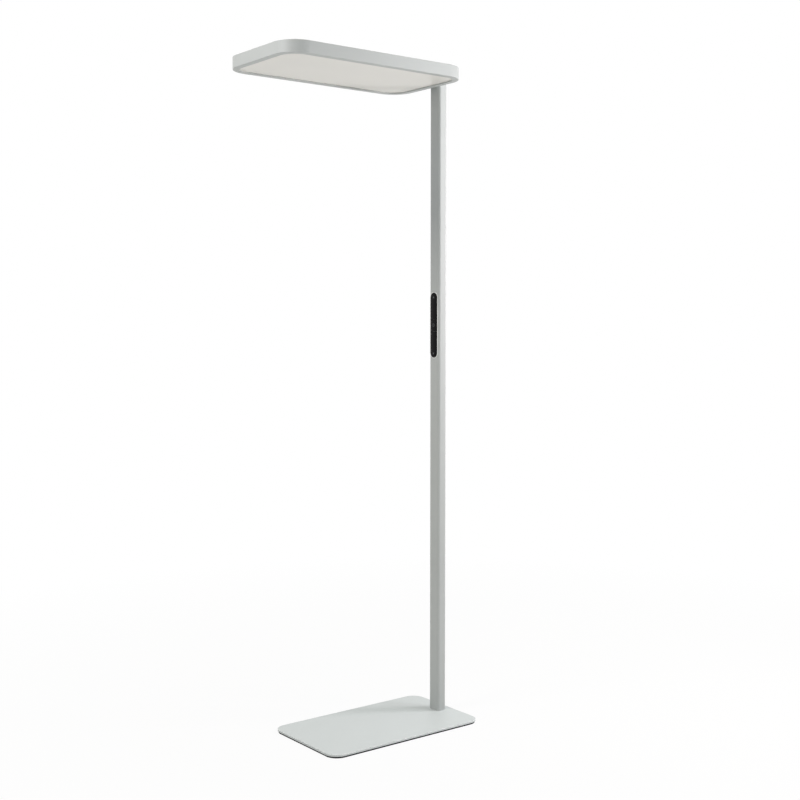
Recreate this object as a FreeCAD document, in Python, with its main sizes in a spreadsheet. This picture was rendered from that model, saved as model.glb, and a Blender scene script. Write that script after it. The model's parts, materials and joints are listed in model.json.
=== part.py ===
import FreeCAD, Part
import Sketcher
import math
import os
import re

# Office floor lamp: a base plate, a hollow mast with three keys on its front, and a slim flat head.
# Frame: the origin is on the mast's axis at floor level, +Z up, and the head and base reach out to -Y.

doc = FreeCAD.newDocument("OfficeFloorLamp")

# Driving dimensions in millimetres.
sizes = {
    "totalHeight": 1950,
    # base plate and mat
    "baseWidth": 319,
    "baseLength": 542,
    "baseCorner": 40,
    "baseBack": 39.5,
    "plateThickness": 5,
    "plateBevel": 0.8,
    "matThickness": 5,
    "matInset": 2.5,
    # mast extrusion
    "mastWidth": 45,
    "mastDepth": 32,
    "mastCorner": 8,
    "mastWall": 2.5,
    "channelBore": 1.6,
    "channelWall": 1.5,
    "channelInset": 2.6,
    # clearances, each on one side
    "slidingGap": 0.15,
    "channelGap": 0.4,
    "screwGap": 0.25,
    "threadGap": 0.05,
    "boreExtra": 2,
    # block in the mast's foot and its screws
    "footBlockHeight": 70,
    "footScrewSpacing": 17,
    "footScrewRadius": 4,
    "footScrewHead": 7.8,
    "footScrewLength": 25,
    "sideScrewRadius": 2.5,
    "sideScrewHead": 4.7,
    "sideScrewLength": 8,
    "sideScrewFromEnd": 20,
    "sideScrewPitch": 28,
    # mast top cap
    "capThickness": 2,
    "capSpigot": 3,
    "capBevel": 0.6,
    "capScrewHead": 3.2,
    "capScrewLength": 12,
    # cable gland at the rear
    "glandHeight": 115,
    "glandBore": 3.6,
    "glandThread": 6,
    "glandFlange": 10,
    "glandFlangeThickness": 4,
    "glandBevel": 1.2,
    "glandThreadLength": 10.5,
    "nutAcrossFlats": 15,
    "nutThickness": 4.5,
    # terminal on the foot block and leads
    "inletWidth": 24,
    "inletDepth": 13,
    "inletHeight": 16,
    "supplyLeadRadius": 2.75,
    "supplyLeadSide": 3.2,
    "controlLeadWidth": 5,
    "controlLeadThickness": 1,
    "controlLeadSide": 4,
    "supplyLeadBend": 12,
    "controlLeadBend": 8,
    "leadRise": 0.85,
    # head bracket
    "bracketHeight": 70,
    "bracketPocketWidth": 18,
    "bracketPocketDepth": 14,
    "bracketPocketCorner": 3,
    "bracketRoof": 5,
    "neckWidth": 30,
    "neckHeight": 23,
    "neckCorner": 3,
    "headGap": 10.5,
    "ductWidth": 15,
    "ductHeight": 8,
    "neckBoltSpacing": 20,
    "neckBoltRise": 6.5,
    "neckBoltRadius": 2.5,
    "neckBoltHead": 4.25,
    "neckBoltHeadHeight": 5,
    "neckBoltLength": 16,
    "backingWidth": 60,
    "backingHeight": 22,
    "backingThickness": 4,
    "backingCorner": 2,
    # head frame
    "headWidth": 336,
    "headLength": 618,
    "headHeight": 34.5,
    "headCorner": 68,
    "headWall": 3,
    "headEdge": 1.5,
    "lipWidth": 19,
    "lipThickness": 3,
    "postInset": 7,
    "postSide": 9,
    "postBore": 1.25,
    "postFromCorner": 61,
    # diffuser, gasket and tray
    "diffuserThickness": 3,
    "diffuserOverlap": 6,
    "gasketThickness": 1.5,
    "gasketWidth": 4.5,
    "trayThickness": 1.5,
    "trayDrop": 6,
    "trayMargin": 1.5,
    "traySkirtInset": 1,
    "trayNotchMargin": 4,
    "backNotchGap": 1,
    "postNotchGap": 1.5,
    # light boards
    "boardWidth": 22,
    "boardThickness": 1.6,
    "downBoardEnd": 26,
    "downBoardSide": 36,
    "downBoardCount": 4,
    "upBoardEnd": 10,
    "upBoardSide": 30,
    "upBoardCount": 3,
    "ledSize": 3.5,
    "ledHeight": 0.8,
    "ledPitch": 40,
    "ledFromEnd": 10,
    # driver and terminal in the head
    "driverWidth": 200,
    "driverLength": 60,
    "driverHeight": 12,
    "driverCorner": 3,
    "driverBevel": 1,
    "driverFromWall": 55,
    "terminalWidth": 22,
    "terminalLength": 16,
    "terminalHeight": 11,
    "terminalCorner": 1,
    "terminalSide": 10,
    "terminalFromWall": 30,
    # top cover and uplight window
    "coverThickness": 1.5,
    "coverRecess": 2,
    "coverGap": 0.5,
    "windowWidth": 250,
    "windowLength": 380,
    "windowCorner": 20,
    "windowFromFront": 60,
    "windowThickness": 2.5,
    "windowOverlap": 6,
    "smallScrewHead": 2.8,
    "smallScrewHeadHeight": 1.6,
    "smallScrewLength": 7,
    # control strip
    "controlCentre": 1203,
    "keypadLength": 194,
    "keyWidth": 28,
    "keyProud": 2.6,
    "keyCrown": 1.2,
    "keyEdge": 0.6,
    "keyCorner": 2,
    "keySkirt": 1.8,
    "keyWall": 1.4,
    "keyRoof": 3,
    "keyInnerCorner": 1,
    "keyRootOverlap": 0.5,
    "keyGap": 0.8,
    "powerKeyLength": 36,
    "keyClearance": 0.3,
    "keyTravel": 0.8,
    "travelGap": 0.4,
    "tubWall": 1.2,
    "rimWidth": 1.2,
    "rimProud": 0.8,
    "rimBevel": 0.4,
    "floorThickness": 1.2,
    "catchGap": 0.1,
    "catchWidth": 10,
    "catchReach": 1.2,
    "stemSide": 4,
    "hookWidth": 5,
    "hookThickness": 1.6,
    "hookBarb": 0.8,
    "hookBarbHeight": 1.1,
    "hookSide": 9,
    "hookSpacing": 9,
    "hookGap": 0.05,
    "windowGap": 0.5,
    "bossRadius": 2.6,
    "bossHeight": 4.3,
    "bossEnd": 84,
    "circuitWidth": 22,
    "circuitLength": 178,
    "circuitThickness": 1.6,
    "circuitCorner": 2,
    "circuitScrewRadius": 1.2,
    "circuitScrewHead": 2.2,
    "circuitScrewLength": 5,
    "circuitBoreExtra": 0.4,
    "switchSide": 6,
    "switchHeight": 3,
    "switchBore": 1.8,
    "switchGap": 0.2,
    "actuatorRadius": 1.7,
    "actuatorGrip": 0.7,
    "endKeySwitch": 58,
    "plugWidth": 9,
    "plugDepth": 4.5,
    "plugHeight": 6,
    "plugFromCentre": 74,
    # how far cutting sketches run past what they cut
    "cutOverrun": 2,
}

sheet = doc.addObject("Spreadsheet::Sheet", "Sizes")
for row, (alias, number) in enumerate(sizes.items(), 1):
    sheet.set(f"A{row}", alias)
    sheet.set(f"B{row}", str(number))
    sheet.setAlias(f"B{row}", alias)
doc.recompute()

# Places worked out from the driving dimensions.
plateTop = "(matThickness + plateThickness)"
baseCentre = "(baseBack - baseLength / 2)"
mastTop = "(totalHeight - capThickness)"
mastFace = "(mastDepth / 2)"
innerWidth = "(mastWidth - 2 * mastWall)"
innerDepth = "(mastDepth - 2 * mastWall)"
blockWidth = f"({innerWidth} - 2 * slidingGap)"
blockDepth = f"({innerDepth} - 2 * slidingGap)"
blockCorner = "(mastCorner - mastWall - slidingGap)"
channelX = f"({innerWidth} / 2 - channelInset)"
channelOuter = "(channelBore + channelWall)"
headBottom = "(totalHeight - headHeight)"
headBack = "(-mastDepth / 2 - headGap)"
headCentre = f"({headBack} - headLength / 2)"
headInnerWidth = "(headWidth - 2 * headWall)"
headInnerLength = "(headLength - 2 * headWall)"
headInnerCorner = "(headCorner - headWall)"
neckCentre = f"({headBottom} + headHeight / 2)"
diffuserWidth = "(headWidth - 2 * lipWidth + 2 * diffuserOverlap)"
diffuserLength = "(headLength - 2 * lipWidth + 2 * diffuserOverlap)"
diffuserCorner = "(headCorner - lipWidth + diffuserOverlap)"
gasketBottom = "(lipThickness + diffuserThickness)"
gasketTop = f"({gasketBottom} + gasketThickness)"
trayBottom = f"({gasketTop} + trayDrop)"
trayTop = f"({trayBottom} + trayThickness)"
coverTop = "(headHeight - coverRecess)"
coverBottom = f"({coverTop} - coverThickness)"
windowCentre = "(-headLength / 2 + windowFromFront + windowLength / 2)"
downBoardLength = f"({diffuserLength} - 2 * downBoardEnd)"
downBoardPitch = f"(({diffuserWidth} - 2 * downBoardSide - boardWidth) / (downBoardCount - 1))"
upBoardLength = "(windowLength - 2 * upBoardEnd)"
upBoardPitch = "((windowWidth - 2 * upBoardSide - boardWidth) / (upBoardCount - 1))"
blockTop = f"({mastTop} - capSpigot - coverGap)"
tubWidth = "(keyWidth + 2 * keyClearance + 2 * tubWall)"
tubLength = "(keypadLength + 2 * keyClearance + 2 * tubWall)"
floorDepth = "(keySkirt + keyTravel + travelGap)"
floorBack = f"({floorDepth} + floorThickness)"
circuitFront = f"({floorBack} + bossHeight)"
circuitBack = f"({circuitFront} + circuitThickness)"
switchFront = f"({circuitFront} - switchHeight)"
actuatorFront = f"({switchFront} - keyTravel - switchGap)"


def bind(text):
    return re.sub(r"[A-Za-z]\w*", lambda word: "Sizes." + word[0] if word[0] in sizes else word[0], text)


def value(text):
    return float(sheet.evalExpression(bind(text)))


def newBody(label, x="0", y="0", z="0"):
    body = doc.addObject("PartDesign::Body", label)
    body.Label = label
    for axis, text in zip("xyz", (x, y, z)):
        body.setExpression(f"Placement.Base.{axis}", bind(text))
    return body


def newSketch(body, plane, offset="0"):
    sketch = body.newObject("Sketcher::SketchObject", "Sketch")
    for feature in body.Origin.OriginFeatures:
        if feature.Role == plane:
            sketch.AttachmentSupport = [(feature, "")]
    sketch.MapMode = "FlatFace"
    sketch.setExpression("AttachmentOffset.Base.z", bind(offset))
    return sketch


def measure(sketch, kind, ends, text):
    index = sketch.addConstraint(Sketcher.Constraint(kind, *ends, value(text)))
    sketch.setExpression(f"Constraints[{index}]", bind(text))


def join(sketch, kind, *ends):
    sketch.addConstraint(Sketcher.Constraint(kind, *ends))


def addLine(sketch, start, end):
    return sketch.addGeometry(Part.LineSegment(FreeCAD.Vector(*start, 0), FreeCAD.Vector(*end, 0)))


def addArc(sketch, centre, radius, first, last):
    circle = Part.Circle(FreeCAD.Vector(*centre, 0), FreeCAD.Vector(0, 0, 1), radius)
    return sketch.addGeometry(Part.ArcOfCircle(circle, math.radians(first), math.radians(last)))


def addCircle(sketch, radius, x="0", y="0"):
    centre = FreeCAD.Vector(value(x), value(y), 0)
    circle = sketch.addGeometry(Part.Circle(centre, FreeCAD.Vector(0, 0, 1), value(radius)))
    measure(sketch, "Radius", (circle,), radius)
    measure(sketch, "DistanceX", (-1, 1, circle, 3), x)
    measure(sketch, "DistanceY", (-1, 1, circle, 3), y)


def addRectangle(sketch, width, length, x="0", y="0"):
    left, right = value(f"{x} - {width} / 2"), value(f"{x} + {width} / 2")
    low, high = value(f"{y} - {length} / 2"), value(f"{y} + {length} / 2")
    corners = [(left, low), (right, low), (right, high), (left, high)]
    sides = [addLine(sketch, corners[i], corners[(i + 1) % 4]) for i in range(4)]
    for i in range(4):
        join(sketch, "Coincident", sides[i], 2, sides[(i + 1) % 4], 1)
        join(sketch, "Vertical" if i % 2 else "Horizontal", sides[i])
    measure(sketch, "DistanceX", (sides[0], 1, sides[0], 2), width)
    measure(sketch, "DistanceY", (sides[1], 1, sides[1], 2), length)
    measure(sketch, "DistanceX", (-1, 1, sides[0], 1), f"{x} - {width} / 2")
    measure(sketch, "DistanceY", (-1, 1, sides[0], 1), f"{y} - {length} / 2")


def addRounded(sketch, width, length, corner, x="0", y="0"):
    middle = (value(x), value(y))
    half = (value(width) / 2, value(length) / 2)
    radius = value(corner)
    reach = (half[0] - radius, half[1] - radius)
    signs = [(1, 1), (-1, 1), (-1, -1), (1, -1)]
    arcs = []
    lines = []
    for i, (sx, sy) in enumerate(signs):
        centre = (middle[0] + sx * reach[0], middle[1] + sy * reach[1])
        arcs.append(addArc(sketch, centre, radius, 90 * i, 90 * i + 90))
    top, bottom = middle[1] + half[1], middle[1] - half[1]
    left, right = middle[0] - half[0], middle[0] + half[0]
    lines.append(addLine(sketch, (middle[0] + reach[0], top), (middle[0] - reach[0], top)))
    lines.append(addLine(sketch, (left, middle[1] + reach[1]), (left, middle[1] - reach[1])))
    lines.append(addLine(sketch, (middle[0] - reach[0], bottom), (middle[0] + reach[0], bottom)))
    lines.append(addLine(sketch, (right, middle[1] - reach[1]), (right, middle[1] + reach[1])))
    for i in range(4):
        join(sketch, "Tangent", arcs[i], 2, lines[i], 1)
        join(sketch, "Tangent", lines[i], 2, arcs[(i + 1) % 4], 1)
        join(sketch, "Vertical" if i % 2 else "Horizontal", lines[i])
    for arc in arcs[1:]:
        join(sketch, "Equal", arcs[0], arc)
    measure(sketch, "Radius", (arcs[0],), corner)
    measure(sketch, "DistanceX", (lines[1], 1, lines[3], 1), width)
    measure(sketch, "DistanceY", (lines[2], 1, lines[0], 1), length)
    measure(sketch, "DistanceX", (-1, 1, lines[1], 1), f"{x} - {width} / 2")
    measure(sketch, "DistanceY", (-1, 1, lines[2], 1), f"{y} - {length} / 2")


def addStadium(sketch, width, length, upright=True, x="0", y="0"):
    # width is across the straight sides, length from end to end
    radius = value(width) / 2
    reach = value(length) / 2 - radius
    middle = (value(x), value(y))
    along = (0, 1) if upright else (1, 0)
    first = 0 if upright else -90
    ends = []
    for i, sign in enumerate((1, -1)):
        centre = (middle[0] + sign * reach * along[0], middle[1] + sign * reach * along[1])
        ends.append((centre, addArc(sketch, centre, radius, first + 180 * i, first + 180 * i + 180)))
    (near, nearArc), (far, farArc) = ends
    side = (radius * along[1], radius * along[0])
    if upright:
        leftLine = addLine(sketch, (near[0] - side[0], near[1]), (far[0] - side[0], far[1]))
        rightLine = addLine(sketch, (far[0] + side[0], far[1]), (near[0] + side[0], near[1]))
    else:
        leftLine = addLine(sketch, (near[0], near[1] + side[1]), (far[0], far[1] + side[1]))
        rightLine = addLine(sketch, (far[0], far[1] - side[1]), (near[0], near[1] - side[1]))
    join(sketch, "Tangent", nearArc, 2, leftLine, 1)
    join(sketch, "Tangent", leftLine, 2, farArc, 1)
    join(sketch, "Tangent", farArc, 2, rightLine, 1)
    join(sketch, "Tangent", rightLine, 2, nearArc, 1)
    join(sketch, "Equal", nearArc, farArc)
    join(sketch, "Vertical" if upright else "Horizontal", leftLine)
    measure(sketch, "Radius", (nearArc,), f"{width} / 2")
    reachText = f"({length} - {width}) / 2"
    measure(sketch, "DistanceX", (-1, 1, nearArc, 3), x if upright else f"{x} + {reachText}")
    measure(sketch, "DistanceY", (-1, 1, nearArc, 3), f"{y} + {reachText}" if upright else y)
    kind = "DistanceY" if upright else "DistanceX"
    measure(sketch, kind, (farArc, 3, nearArc, 3), f"{length} - {width}")


def pad(body, sketch, length, backward=False, taper=0):
    feature = body.newObject("PartDesign::Pad", "Pad")
    feature.Profile = sketch
    feature.setExpression("Length", bind(length))
    feature.Reversed = backward
    feature.TaperAngle = taper
    doc.recompute()
    return feature


def pocket(body, sketch, depth, backward=False, taper=0):
    before = body.Shape.Volume
    feature = body.newObject("PartDesign::Pocket", "Pocket")
    feature.Profile = sketch
    feature.setExpression("Length", bind(depth))
    feature.Reversed = backward
    feature.TaperAngle = taper
    doc.recompute()
    if not body.Shape.Volume < before:
        raise ValueError(f"{body.Label}: {feature.Name} cuts nothing")
    return feature


def dress(body, kind, edges, size):
    base = body.Tip
    names = [f"Edge{i}" for i, edge in enumerate(base.Shape.Edges, 1) if edges(edge)]
    if not names:
        raise ValueError(f"{body.Label}: no edge for the {kind}")
    feature = body.newObject(f"PartDesign::{kind}", kind)
    feature.Base = (base, names)
    feature.setExpression("Radius" if kind == "Fillet" else "Size", bind(size))
    doc.recompute()
    return feature


def levelAt(axis, text):
    level = value(text)

    def test(edge):
        box = edge.BoundBox
        low, high = getattr(box, axis + "Min"), getattr(box, axis + "Max")
        return abs(low - level) < 1e-4 and abs(high - level) < 1e-4

    return test


def addScrews(body, plane, level, spots, shank, length, head, headHeight=None, outward=True):
    # Raised head on its seat, or a sunk cone head flush with its level where there is no head height.
    # outward: the heads face along the plane's normal.
    shanks = newSketch(body, plane, level)
    for x, y in spots:
        addCircle(shanks, f"{shank} - threadGap", x, y)
    pad(body, shanks, length, backward=outward)
    heads = newSketch(body, plane, level)
    for x, y in spots:
        addCircle(heads, head, x, y)
    if headHeight:
        pad(body, heads, headHeight, backward=not outward)
    else:
        pad(body, heads, f"{head} - {shank} + threadGap", backward=outward, taper=-45)


footSpots = [("footScrewSpacing / 2", "0"), ("-footScrewSpacing / 2", "0")]
neckSpots = [("neckBoltSpacing / 2", "neckBoltRise"), ("-neckBoltSpacing / 2", "neckBoltRise")]
channelSpots = [(channelX, "0"), (f"-{channelX}", "0")]
bossSpots = [("0", "bossEnd"), ("0", "-bossEnd")]
postX = "(headWidth / 2 - postInset)"
postPitch = "(headLength / 2 - headCorner - postFromCorner)"
trayPosts = []
coverPosts = []
for sideSign in ("", "-"):
    for step in ("0.5", "-0.5"):
        trayPosts.append((f"{sideSign}{postX}", f"{step} * {postPitch}"))
    for step in ("", "-"):
        coverPosts.append((f"{sideSign}{postX}", f"{step}{postPitch}"))


# Anti-slip mat: it is glued under the plate, over the foot screws, and set in from the plate's edge.
def makeMat():
    body = newBody("anti_slip_mat", y=baseCentre)
    outline = newSketch(body, "XY_Plane")
    addRounded(outline, "(baseWidth - 2 * matInset)", "(baseLength - 2 * matInset)",
               "(baseCorner - matInset)")
    pad(body, outline, "matThickness")


def makeBasePlate():
    body = newBody("base_plate", y=baseCentre, z="matThickness")
    outline = newSketch(body, "XY_Plane")
    addRounded(outline, "baseWidth", "baseLength", "baseCorner")
    pad(body, outline, "plateThickness")
    dress(body, "Chamfer", levelAt("Z", "plateThickness"), "plateBevel")
    holes = newSketch(body, "XY_Plane")
    sinks = newSketch(body, "XY_Plane")
    for x, y in footSpots:
        addCircle(holes, "footScrewRadius + screwGap", x, f"{y} - {baseCentre}")
        addCircle(sinks, "footScrewHead + threadGap", x, f"{y} - {baseCentre}")
    pocket(body, holes, "plateThickness", backward=True)
    pocket(body, sinks, "footScrewHead - footScrewRadius", backward=True, taper=-45)


def channelGrooves(body, bottom, height):
    grooves = newSketch(body, "XY_Plane", bottom)
    for x, y in channelSpots:
        addCircle(grooves, f"{channelOuter} + channelGap", x, y)
    pocket(body, grooves, height, backward=True)


def sideHoles(body, level, spots):
    holes = newSketch(body, "XZ_Plane", level)
    for x, z in spots:
        addCircle(holes, "sideScrewRadius", x, z)
    pocket(body, holes, "sideScrewLength + boreExtra", backward=True)


def makeFootBlock():
    body = newBody("foot_block", z=plateTop)
    outline = newSketch(body, "XY_Plane")
    addRounded(outline, blockWidth, blockDepth, blockCorner)
    pad(body, outline, "footBlockHeight")
    channelGrooves(body, "0", "footBlockHeight")
    threads = newSketch(body, "XY_Plane")
    for x, y in footSpots:
        addCircle(threads, "footScrewRadius", x, y)
    pocket(body, threads, "(footScrewLength - plateThickness + boreExtra)", backward=True)
    spots = [("0", "sideScrewFromEnd"), ("0", "sideScrewFromEnd + sideScrewPitch")]
    sideHoles(body, f"-{blockDepth} / 2", spots)


def makeFootScrews():
    body = newBody("foot_screws", z="matThickness")
    addScrews(body, "XY_Plane", "0", footSpots, "footScrewRadius", "footScrewLength", "footScrewHead",
              outward=False)


# Screws through the mast's rear wall, sunk flush, two into each inner block.
footSideHeight = f"({plateTop} + sideScrewFromEnd)"
bracketBottom = f"({blockTop} - bracketHeight)"
bracketSideHeight = f"({bracketBottom} + sideScrewFromEnd)"


def makeSideScrews(label, height):
    body = newBody(label, y=mastFace, z=height)
    addScrews(body, "XZ_Plane", "0", [("0", "0"), ("0", "sideScrewPitch")], "sideScrewRadius",
              "sideScrewLength", "sideScrewHead", outward=False)


# Mast: an extrusion with two screw channels, and cut-outs for the keys, gland, screws and neck.
def makeMast():
    body = newBody("mast_profile", z=plateTop)
    length = f"({mastTop} - {plateTop})"
    outside = newSketch(body, "XY_Plane")
    addRounded(outside, "mastWidth", "mastDepth", "mastCorner")
    pad(body, outside, length)
    inside = newSketch(body, "XY_Plane")
    addRounded(inside, innerWidth, innerDepth, "(mastCorner - mastWall)")
    pocket(body, inside, length, backward=True)
    channels = newSketch(body, "XY_Plane")
    for x, y in channelSpots:
        addCircle(channels, channelOuter, x, y)
    pad(body, channels, length)
    bores = newSketch(body, "XY_Plane")
    for x, y in channelSpots:
        addCircle(bores, "channelBore", x, y)
    pocket(body, bores, length, backward=True)
    keypad = newSketch(body, "XZ_Plane", mastFace)
    addStadium(keypad, f"({tubWidth} + 2 * slidingGap)", f"({tubLength} + 2 * slidingGap)",
               y=f"(controlCentre - {plateTop})")
    pocket(body, keypad, "mastWall + mastCorner / 2")
    notchHeight = f"({mastTop} - {neckCentre} + neckHeight / 2 + slidingGap)"
    notch = newSketch(body, "XZ_Plane", mastFace)
    addRectangle(notch, "(neckWidth + 2 * slidingGap)", notchHeight, y=f"({length} - {notchHeight} / 2)")
    pocket(body, notch, "mastWall + mastCorner / 2")
    heights = [footSideHeight, f"{footSideHeight} + sideScrewPitch",
               bracketSideHeight, f"{bracketSideHeight} + sideScrewPitch"]
    rear = newSketch(body, "XZ_Plane", f"-{mastFace}")
    sinks = newSketch(body, "XZ_Plane", f"-{mastFace}")
    for height in heights:
        addCircle(rear, "sideScrewRadius + screwGap", "0", f"{height} - {plateTop}")
        addCircle(sinks, "sideScrewHead + threadGap", "0", f"{height} - {plateTop}")
    addCircle(rear, "glandThread + screwGap", "0", f"glandHeight - {plateTop}")
    pocket(body, rear, "mastWall + cutOverrun", backward=True)
    pocket(body, sinks, "sideScrewHead - sideScrewRadius", backward=True, taper=-45)


# Cap: a bevelled plate, a spigot in the mast's bore and a tongue that fills the notch above the neck.
def makeCap():
    body = newBody("mast_top_cap", z=mastTop)
    plate = newSketch(body, "XY_Plane")
    addRounded(plate, "mastWidth", "mastDepth", "mastCorner")
    pad(body, plate, "capThickness")
    dress(body, "Chamfer", levelAt("Z", "capThickness"), "capBevel")
    spigot = newSketch(body, "XY_Plane")
    addRounded(spigot, blockWidth, blockDepth, blockCorner)
    pad(body, spigot, "capSpigot", backward=True)
    channelGrooves(body, "-capSpigot", "capSpigot")
    tongue = newSketch(body, "XZ_Plane", mastFace)
    tongueHeight = f"({mastTop} - {neckCentre} - neckHeight / 2 - slidingGap)"
    addRectangle(tongue, "neckWidth", tongueHeight, y=f"-{tongueHeight} / 2")
    pad(body, tongue, "(mastWall - slidingGap)", backward=True)
    holes = newSketch(body, "XY_Plane", "capThickness")
    sinks = newSketch(body, "XY_Plane", "capThickness")
    for x, y in channelSpots:
        addCircle(holes, "channelBore + screwGap", x, y)
        addCircle(sinks, "capScrewHead + threadGap", x, y)
    pocket(body, holes, "capThickness")
    pocket(body, sinks, "capScrewHead - channelBore", taper=-45)


def makeCapScrews():
    body = newBody("cap_screws", z="totalHeight")
    addScrews(body, "XY_Plane", "0", channelSpots, "channelBore", "capScrewLength", "capScrewHead")


# Cable gland: a flange outside the rear wall, a thread through it and a nut inside.
def makeGland():
    body = newBody("cable_gland", y=mastFace, z="glandHeight")
    flange = newSketch(body, "XZ_Plane")
    addCircle(flange, "glandFlange")
    pad(body, flange, "glandFlangeThickness", backward=True)
    dress(body, "Chamfer", levelAt("Y", "glandFlangeThickness"), "glandBevel")
    thread = newSketch(body, "XZ_Plane")
    addCircle(thread, "glandThread")
    pad(body, thread, "glandThreadLength")
    bore = newSketch(body, "XZ_Plane", "glandThreadLength")
    addCircle(bore, "glandBore")
    pocket(body, bore, "glandThreadLength + glandFlangeThickness")


def addHexagon(sketch, acrossFlats):
    radius = value(acrossFlats) / 2 / math.cos(math.pi / 6)
    turns = [math.pi / 3 * i for i in range(6)]
    points = [(radius * math.cos(turn), radius * math.sin(turn)) for turn in turns]
    sides = [addLine(sketch, points[i], points[(i + 1) % 6]) for i in range(6)]
    for i in range(6):
        join(sketch, "Coincident", sides[i], 2, sides[(i + 1) % 6], 1)
    for side in sides[1:]:
        join(sketch, "Equal", sides[0], side)
    join(sketch, "Horizontal", sides[1])
    join(sketch, "Parallel", sides[0], sides[3])
    measure(sketch, "DistanceY", (sides[4], 1, sides[1], 1), acrossFlats)
    measure(sketch, "DistanceY", (-1, 1, sides[0], 1), "0")
    join(sketch, "Symmetric", sides[0], 1, sides[3], 1, -1, 1)


def makeGlandNut():
    body = newBody("gland_nut", y="(mastDepth / 2 - mastWall)", z="glandHeight")
    outline = newSketch(body, "XZ_Plane")
    addHexagon(outline, "nutAcrossFlats")
    pad(body, outline, "nutThickness")
    thread = newSketch(body, "XZ_Plane", "nutThickness")
    addCircle(thread, "glandThread + threadGap")
    pocket(body, thread, "nutThickness")


def makeInletTerminal():
    body = newBody("inlet_terminal", z=f"{plateTop} + footBlockHeight")
    outline = newSketch(body, "XY_Plane")
    addRounded(outline, "inletWidth", "inletDepth", "terminalCorner")
    pad(body, outline, "inletHeight")


# Leads: the round supply from the inlet terminal, and the flat control lead from the board's plug.
# Each climbs inside the mast, turns in the bracket and runs out through the neck into the head.
def makeLead(label, side, depth, start, addSection, bendRadius, end):
    body = newBody(label, x=side, y=depth)
    route = newSketch(body, "YZ_Plane")
    low, high = value(start), value(f"{neckCentre} + leadRise")
    bend = value(bendRadius)
    finish = value(f"{end} - {depth}")
    rise = addLine(route, (0, low), (0, high - bend))
    turn = addArc(route, (-bend, high - bend), bend, 0, 90)
    run = addLine(route, (-bend, high), (finish, high))
    join(route, "Tangent", rise, 2, turn, 1)
    join(route, "Tangent", turn, 2, run, 1)
    join(route, "Vertical", rise)
    join(route, "Horizontal", run)
    measure(route, "Radius", (turn,), bendRadius)
    measure(route, "DistanceX", (-1, 1, rise, 1), "0")
    measure(route, "DistanceY", (-1, 1, rise, 1), start)
    measure(route, "DistanceY", (-1, 1, run, 2), f"{neckCentre} + leadRise")
    measure(route, "DistanceX", (-1, 1, run, 2), f"{end} - {depth}")
    section = newSketch(body, "XY_Plane", start)
    addSection(section)
    doc.recompute()
    pipe = body.newObject("PartDesign::AdditivePipe", "Pipe")
    pipe.Profile = section
    pipe.Spine = (route, ["Edge1", "Edge2", "Edge3"])
    doc.recompute()


# Head bracket: a hollow block in the mast's top and a neck to the head, with a duct for the leads.
def makeBracket():
    body = newBody("head_bracket", z=neckCentre)
    blockLow = f"({bracketBottom} - {neckCentre})"
    block = newSketch(body, "XY_Plane", blockLow)
    addRounded(block, blockWidth, blockDepth, blockCorner)
    pad(body, block, "bracketHeight")
    neckEnd = "(mastDepth / 2 + headGap)"
    neck = newSketch(body, "XZ_Plane", neckEnd)
    addRounded(neck, "neckWidth", "neckHeight", "neckCorner")
    pad(body, neck, f"({neckEnd} - {blockDepth} / 2 + mastWall)", backward=True)
    channelGrooves(body, blockLow, "bracketHeight")
    hollow = newSketch(body, "XY_Plane", blockLow)
    addRounded(hollow, "bracketPocketWidth", "bracketPocketDepth", "bracketPocketCorner")
    pocket(body, hollow, "(bracketHeight - bracketRoof)", backward=True)
    duct = newSketch(body, "XZ_Plane", neckEnd)
    addStadium(duct, "ductHeight", "ductWidth", upright=False)
    pocket(body, duct, neckEnd)
    threads = newSketch(body, "XZ_Plane", neckEnd)
    for x, z in neckSpots:
        addCircle(threads, "neckBoltRadius", x, z)
    pocket(body, threads, "(neckBoltLength - backingThickness - headWall + boreExtra)")
    height = f"({bracketSideHeight} - {neckCentre})"
    sideHoles(body, f"-{blockDepth} / 2", [("0", height), ("0", f"{height} + sideScrewPitch")])


def neckHoles(body, level, depth):
    holes = newSketch(body, "XZ_Plane", level)
    for x, z in neckSpots:
        addCircle(holes, "neckBoltRadius + screwGap", x, f"{z} + headHeight / 2")
    addStadium(holes, "ductHeight", "ductWidth", upright=False, y="headHeight / 2")
    pocket(body, holes, depth)


def makeBackingPlate():
    body = newBody("backing_plate", y=f"({headBack} - headWall)", z=headBottom)
    outline = newSketch(body, "XZ_Plane")
    addRounded(outline, "backingWidth", "backingHeight", "backingCorner", y="headHeight / 2")
    pad(body, outline, "backingThickness")
    neckHoles(body, "backingThickness", "backingThickness")


def makeNeckBolts():
    body = newBody("neck_bolts", y=f"({headBack} - headWall - backingThickness)", z=neckCentre)
    addScrews(body, "XZ_Plane", "0", neckSpots, "neckBoltRadius", "neckBoltLength", "neckBoltHead",
              "neckBoltHeadHeight")


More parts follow.
